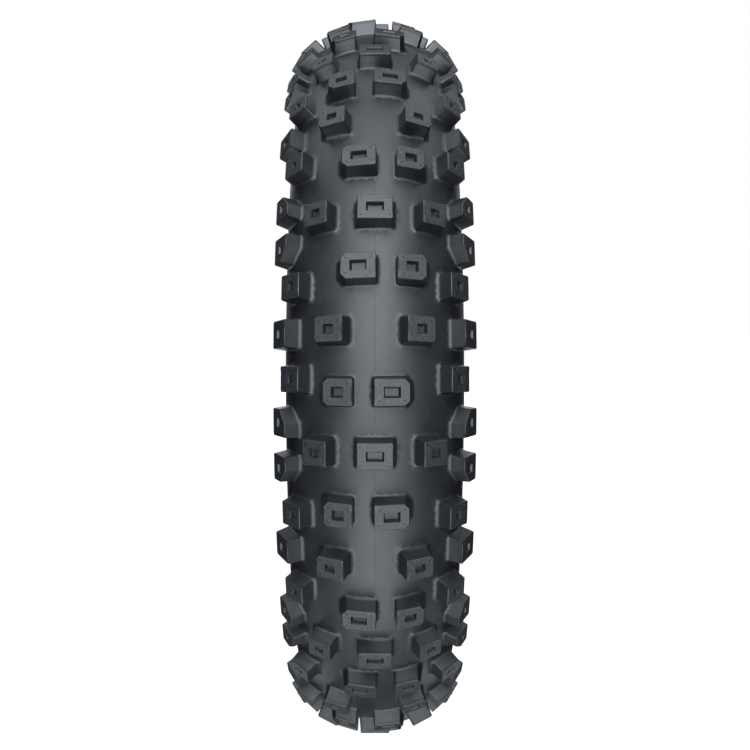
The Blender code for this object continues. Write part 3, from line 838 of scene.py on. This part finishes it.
def make_body_plies():
    """The outer ply ends beside the bead. The inner one runs round the core and turns up outside it."""
    lower = deeper(PLY_OUTER_TOP, PLY)
    tail = [Vector((PLY_OUTER_OUT, PLY_FOOT)), Vector((PLY_OUTER_OUT - PLY, PLY_FOOT))]
    outline = along(PLY_OUTER_TOP, FACE_TOP, -FACE_TOP) + mirrored(tail)
    ring("body_ply_outer", outline + along(lower, -FACE_TOP, FACE_TOP) + tail[::-1], "ply_fabric")
    lower = deeper(PLY_INNER_TOP, PLY)
    wall = PLY_INNER_IN + PLY
    bead = [
        Vector((wall, BEAD_INNER_TOP)),
        Vector((wall, PLY_FOOT + PLY)),
        Vector((PLY_INNER_OUT - PLY, PLY_FOOT + PLY)),
        *along(lower, FACE_TOP, PLY_EDGE),
        *along(PLY_INNER_TOP, PLY_EDGE, FACE_TOP),
        Vector((PLY_INNER_OUT, PLY_FOOT)),
        Vector((PLY_INNER_IN, PLY_FOOT)),
        Vector((PLY_INNER_IN, BEAD_INNER_TOP + PLY / 2.0)),
    ]
    outline = along(PLY_INNER_TOP, HOLLOW_START, -HOLLOW_START) + mirrored(bead)
    outline += along(lower, -HOLLOW_START, HOLLOW_START) + bead[::-1]
    ring("body_ply_inner", outline, "ply_fabric")


def make_inner_liner():
    outer_face = PLY_INNER_IN - GAP
    inner_face = outer_face - LINER
    foot = BEAD_INNER_TOP - 1.0 * MM
    outer_knee = BEAD_INNER_TOP + PLY / 2.0 + 0.2 * MM
    bead = [
        Vector((outer_face, outer_knee)),
        Vector((outer_face, foot)),
        Vector((inner_face, foot)),
        Vector((inner_face, outer_knee + LINER / 2.0)),
    ]
    outline = along(LINER_TOP, HOLLOW_START, -HOLLOW_START) + mirrored(bead)
    outline += along(deeper(LINER_TOP, LINER), -HOLLOW_START, HOLLOW_START) + bead[::-1]
    ring("inner_liner", outline, "casing_rubber", FINE_FLATS)


# Ribs round the sidewall: station, half width in stations, height.
RIBS = ((3.78, 0.05, 0.45 * MM), (4.22, 0.035, 0.3 * MM), (5.22, 0.035, 0.3 * MM), (6.35, 0.13, 0.7 * MM))
SERRATED = (4.27, 5.17)  # stations of the band of small teeth, which rises over a ramp at each end
SERRATED_RAMP = 0.05
SERRATIONS = 360
SERRATION_HEIGHT = 0.32 * MM
PLAIN_FROM = 0.35  # cosine of twice the turn where the serrations fade out, to leave two plain panels
PLAIN_FADE = 0.02
EDGE_CLEARANCE = 0.015  # between the stations where tread and sidewall end
FINE_STEP = 0.0175  # in stations, near ribs and ramps
COARSE_STEPS = 4  # fine steps from one point to the next where the wall is plain
RELIEF_MARGIN = 0.02
RAMP_MARGIN = 0.07


def rib_rise(station):
    for place, half_width, height in RIBS:
        away = abs(station - place) / half_width
        if away < 1.0:
            return height * math.cos(away * math.pi / 2.0) ** 2
    return 0.0


def near_relief(station):
    """True where the sidewall's outline needs close points, on a rib or at an end of the serrated band."""
    on_rib = any(abs(station - place) < half_width + RELIEF_MARGIN for place, half_width, _ in RIBS)
    inside = (station - SERRATED[0], SERRATED[1] - station)
    return on_rib or any(-RELIEF_MARGIN < distance < RAMP_MARGIN for distance in inside)


def make_sidewalls():
    """Both sidewalls, with ribs round them and a serrated band of alternately raised flats."""
    start = TREAD_END + EDGE_CLEARANCE
    stations = []
    for i in range(int((SIDEWALL_END - start) / FINE_STEP)):
        station = start + i * FINE_STEP
        if i % COARSE_STEPS == 0 or near_relief(station):
            stations.append(station)
    outer = [section_point(deeper(SURFACE, -rib_rise(station)), station) for station in stations]
    outer.append(section_point(SURFACE, SIDEWALL_END))
    outline = outer[::-1] + along(RUBBER_UNDERSIDE, start, SIDEWALL_END)
    serrated = np.zeros(len(outline))
    for i, station in enumerate(stations):
        ramp = min(station - SERRATED[0], SERRATED[1] - station) / SERRATED_RAMP
        serrated[len(outer) - 1 - i] = max(0.0, min(1.0, ramp))

    def relief(_, angle):
        teeth = np.arange(len(angle)) % 2
        plain = np.clip((np.cos(2.0 * angle) - PLAIN_FROM) / PLAIN_FADE, 0.0, 1.0)
        return serrated[:, None] * (teeth * SERRATION_HEIGHT * (1.0 - plain))[None, :]

    ring_pair("sidewall", outline, "sidewall_rubber", 2 * SERRATIONS, relief)


CORE_WIRES = 7  # along each side of the bundle
WIRE_TURNS = (200.0, 235.0, 270.0, 305.0, 340.0)  # points on a wire's outer half, in degrees


def make_bead_cores():
    """Bundle of round wires, so its outline is scalloped."""
    wire = CORE_WIDTH / CORE_WIRES
    last = (CORE_WIRES - 1) / 2.0
    centre = Vector(((CORE_IN + CORE_OUT) / 2.0, CORE_FOOT_RADIUS + CORE_HEIGHT / 2.0))
    outline = []
    for side in range(4):
        along_side = Matrix.Rotation(side * math.pi / 2.0, 2)
        for i in range(CORE_WIRES):
            middle = Vector(((i - last) * wire, -last * wire))
            for turn in WIRE_TURNS:
                angle = math.radians(turn)
                local = middle + Vector((math.cos(angle), math.sin(angle))) * wire / 2.0
                if abs(local.x) <= CORE_WIRES / 2.0 * wire:
                    outline.append(centre + along_side @ local)
    ring_pair("bead_core", outline, "bead_steel")


def make_bead_fillers():
    foot = CORE_TOP_RADIUS + GAP
    knee = BEAD_INNER_TOP + GAP
    tip = section_point(deeper(PLY_INNER_TOP, PLY), PLY_EDGE)
    outline = [
        Vector((CORE_IN, foot)),
        Vector((CORE_OUT, foot)),
        Vector((CORE_OUT, knee)),
        tip + Vector((-2.0 * GAP, -1.0 * MM)),
        tip + Vector((-1.8 * MM, 0.0)),
        Vector((CORE_IN + GAP, knee)),
    ]
    ring_pair("bead_filler", outline, "filler_rubber")


def u_wrap(outside, inside, foot, thickness, outside_top, inside_top):
    """Outline of a strip that runs down outside the bead core, under it and up inside it."""
    return [
        Vector((outside, outside_top)),
        Vector((outside, foot)),
        Vector((inside, foot)),
        Vector((inside, inside_top)),
        Vector((inside + thickness, inside_top)),
        Vector((inside + thickness, foot + thickness)),
        Vector((outside - thickness, foot + thickness)),
        Vector((outside - thickness, outside_top)),
    ]


def make_bead_wraps():
    top = BEAD_INNER_TOP - GAP
    wrap = u_wrap(FLIPPER_OUT, FLIPPER_IN, FLIPPER_FOOT, FLIPPER, top, top)
    ring_pair("bead_flipper", wrap, "bead_fabric")
    level = even(CUSHION + GAP)
    inside_top = BEAD_INNER_TOP - 1.4 * MM
    wrap = u_wrap(CHAFER_OUT, CHAFER_IN, CHAFER_FOOT, CHAFER, FLANGE_TOP_RADIUS, inside_top)
    outline = along(level, CHAFER_START, FACE_TOP) + wrap[1:-1]
    outline += along(deeper(level, CHAFER), FACE_TOP, CHAFER_START)
    ring_pair("chafer", outline, "bead_fabric")


HEEL = ((0.25 * MM, 1.6 * MM), (0.95 * MM, 0.6 * MM), (2.3 * MM, 0.0))  # in from the face, over the seat
TOE_BEVEL = (0.5 * MM, 0.4 * MM)
TOE_HEIGHT = 4.0 * MM
INNER_TOP_WIDTH = 0.6 * MM
CUSHION_CLEARANCE = 0.02  # in stations, from the sidewall's end
CUSHION_STEP = 0.07
CUSHION_EDGE_RADIUS = 0.3 * MM


def make_rim_cushions():
    """Rubber that meets the rim: down the flange's face, round the heel, along the seat to the toe and
    up inside."""
    inner_top = BEAD_INNER_TOP - 1.6 * MM
    bed = CHAFER_FOOT - GAP
    inner_face = CHAFER_IN - GAP
    start = SIDEWALL_END + CUSHION_CLEARANCE
    outline = along(SURFACE, start, FACE_TOP, CUSHION_STEP)
    outline += [
        Vector((BEAD_HALF_WIDTH, FLANGE_FOOT_RADIUS)),
        *(Vector((BEAD_HALF_WIDTH - inset, SEAT_RADIUS + rise)) for inset, rise in HEEL),
        Vector((TOE_IN + TOE_BEVEL[0], TOE_RADIUS)),
        Vector((TOE_IN, TOE_RADIUS + TOE_BEVEL[1])),
        Vector((TOE_IN, TOE_RADIUS + TOE_HEIGHT)),
        Vector((inner_face - INNER_TOP_WIDTH, inner_top)),
        Vector((inner_face, inner_top)),
        Vector((inner_face, bed)),
        Vector((BEAD_HALF_WIDTH - CUSHION, bed)),
    ]
    outline += along(even(CUSHION), FACE_TOP, start, 2.0 * CUSHION_STEP)
    ring_pair("rim_cushion", softened(outline, CUSHION_EDGE_RADIUS), "rim_rubber", FINE_FLATS)


# ---------------------------------------------------------------- studio


def aim(obj, place, target):
    obj.location = place
    obj.rotation_euler = (Vector(target) - Vector(place)).to_track_quat("-Z", "Y").to_euler()


LIGHT_DISTANCE = 2.2
LIGHT_SIZE = (1.5, 0.7)
LIGHT_COLOUR = (0.86, 0.92, 1.0)
ARCH_FIRST = -60.0  # lifts over the horizon in degrees
ARCH_STEP = 18.0
ARCH_POWERS = (12.5, 13.5, 13.0, 12.0, 17.0, 18.5, 18.5, 14.5, 5.0, 4.0)
BACK_LIFTS = (165.0, 195.0)
BACK_POWER = 14.0
# x, distance to the side, z and power
SIDE_LIGHTS = {"high": (-0.6, 1.2, 2.0, 9.0), "low": (-0.6, 1.2, -2.0, 5.0), "rear": (-2.1, 1.0, 0.3, 4.5)}
WORLD_COLOUR = (0.92, 0.96, 1.0, 1.0)
WORLD_STRENGTH = 0.015
FLOOR_HALF_SIZE = 12.0
CAMERA_ELEVATION = math.radians(9.35)
CAMERA_PITCH = math.radians(9.27)
CAMERA_DISTANCE = 1.055
CAMERA_LENS = 49.9
WHITE = (1.0, 1.0, 1.0, 1.0)


def area_light(name, place, power):
    data = bpy.data.lights.new(name, "AREA")
    data.shape = "RECTANGLE"
    data.size, data.size_y = LIGHT_SIZE
    data.energy = power
    data.color = LIGHT_COLOUR
    light = bpy.data.objects.new(name, data)
    light.visible_camera = False
    bpy.context.scene.collection.objects.link(light)
    aim(light, place, (0.0, 0.0, 0.0))


def make_floor(height):
    """Floor that the camera sees as plain white. It throws no light or shade on the tyre."""
    size = FLOOR_HALF_SIZE
    mesh = bpy.data.meshes.new("floor")
    corners = [(-size, -size, height), (size, -size, height), (size, size, height), (-size, size, height)]
    mesh.from_pydata(corners, [], [(0, 1, 2, 3)])
    floor = bpy.data.objects.new("floor", mesh)
    bpy.context.scene.collection.objects.link(floor)
    floor.visible_diffuse = floor.visible_glossy = floor.visible_shadow = False
    nodes = Nodes("pale_floor")
    nodes.shader.inputs["Base Color"].default_value = (0.0, 0.0, 0.0, 1.0)
    nodes.shader.inputs["Emission Color"].default_value = WHITE
    nodes.shader.inputs["Emission Strength"].default_value = 1.0
    mesh.materials.append(nodes.material)


def make_world():
    """White to the camera, and a dim cool light to everything else."""
    world = bpy.data.worlds.new("studio")
    bpy.context.scene.world = world
    world.use_nodes = True
    tree = world.node_tree
    dim = tree.nodes["Background"]
    dim.inputs["Color"].default_value = WORLD_COLOUR
    dim.inputs["Strength"].default_value = WORLD_STRENGTH
    white = tree.nodes.new("ShaderNodeBackground")
    white.inputs["Color"].default_value = WHITE
    path = tree.nodes.new("ShaderNodeLightPath")
    mix = tree.nodes.new("ShaderNodeMixShader")
    tree.links.new(path.outputs["Is Camera Ray"], mix.inputs[0])
    tree.links.new(dim.outputs[0], mix.inputs[1])
    tree.links.new(white.outputs[0], mix.inputs[2])
    tree.links.new(mix.outputs[0], tree.nodes["World Output"].inputs["Surface"])


def make_camera():
    data = bpy.data.cameras.new("camera")
    data.sensor_width = 36.0
    data.lens = CAMERA_LENS
    camera = bpy.data.objects.new("camera", data)
    bpy.context.scene.collection.objects.link(camera)
    place = in_wheel_plane(CAMERA_ELEVATION, CAMERA_DISTANCE)
    aim(camera, place, place - in_wheel_plane(CAMERA_PITCH, 1.0))
    bpy.context.scene.camera = camera


def in_wheel_plane(lift, distance):
    return Vector((math.cos(lift), 0.0, math.sin(lift))) * distance


def make_lights():
    """An arch of soft boxes over the front of the tread, from under it to past overhead, two behind the
    tyre, and three weaker ones at each side, set back so that the front's edges stay dark."""
    for i, power in enumerate(ARCH_POWERS):
        lift = math.radians(ARCH_FIRST + i * ARCH_STEP)
        area_light(f"arch_{i}", in_wheel_plane(lift, LIGHT_DISTANCE), power)
    for i, lift in enumerate(BACK_LIFTS):
        area_light(f"back_{i}", in_wheel_plane(math.radians(lift), LIGHT_DISTANCE), BACK_POWER)
    for side_name, side in (("right", 1.0), ("left", -1.0)):
        for name, (x, y, z, power) in SIDE_LIGHTS.items():
            area_light(f"{side_name}_{name}", (x, y * side, z), power)


make_tread()
make_undertread()
make_breakers()
make_body_plies()
make_inner_liner()
make_sidewalls()
make_bead_cores()
make_bead_fillers()
make_bead_wraps()
make_rim_cushions()
make_floor(cad_low.z)
make_world()
make_camera()
make_lights()
bpy.context.scene.view_settings.view_transform = "Standard"
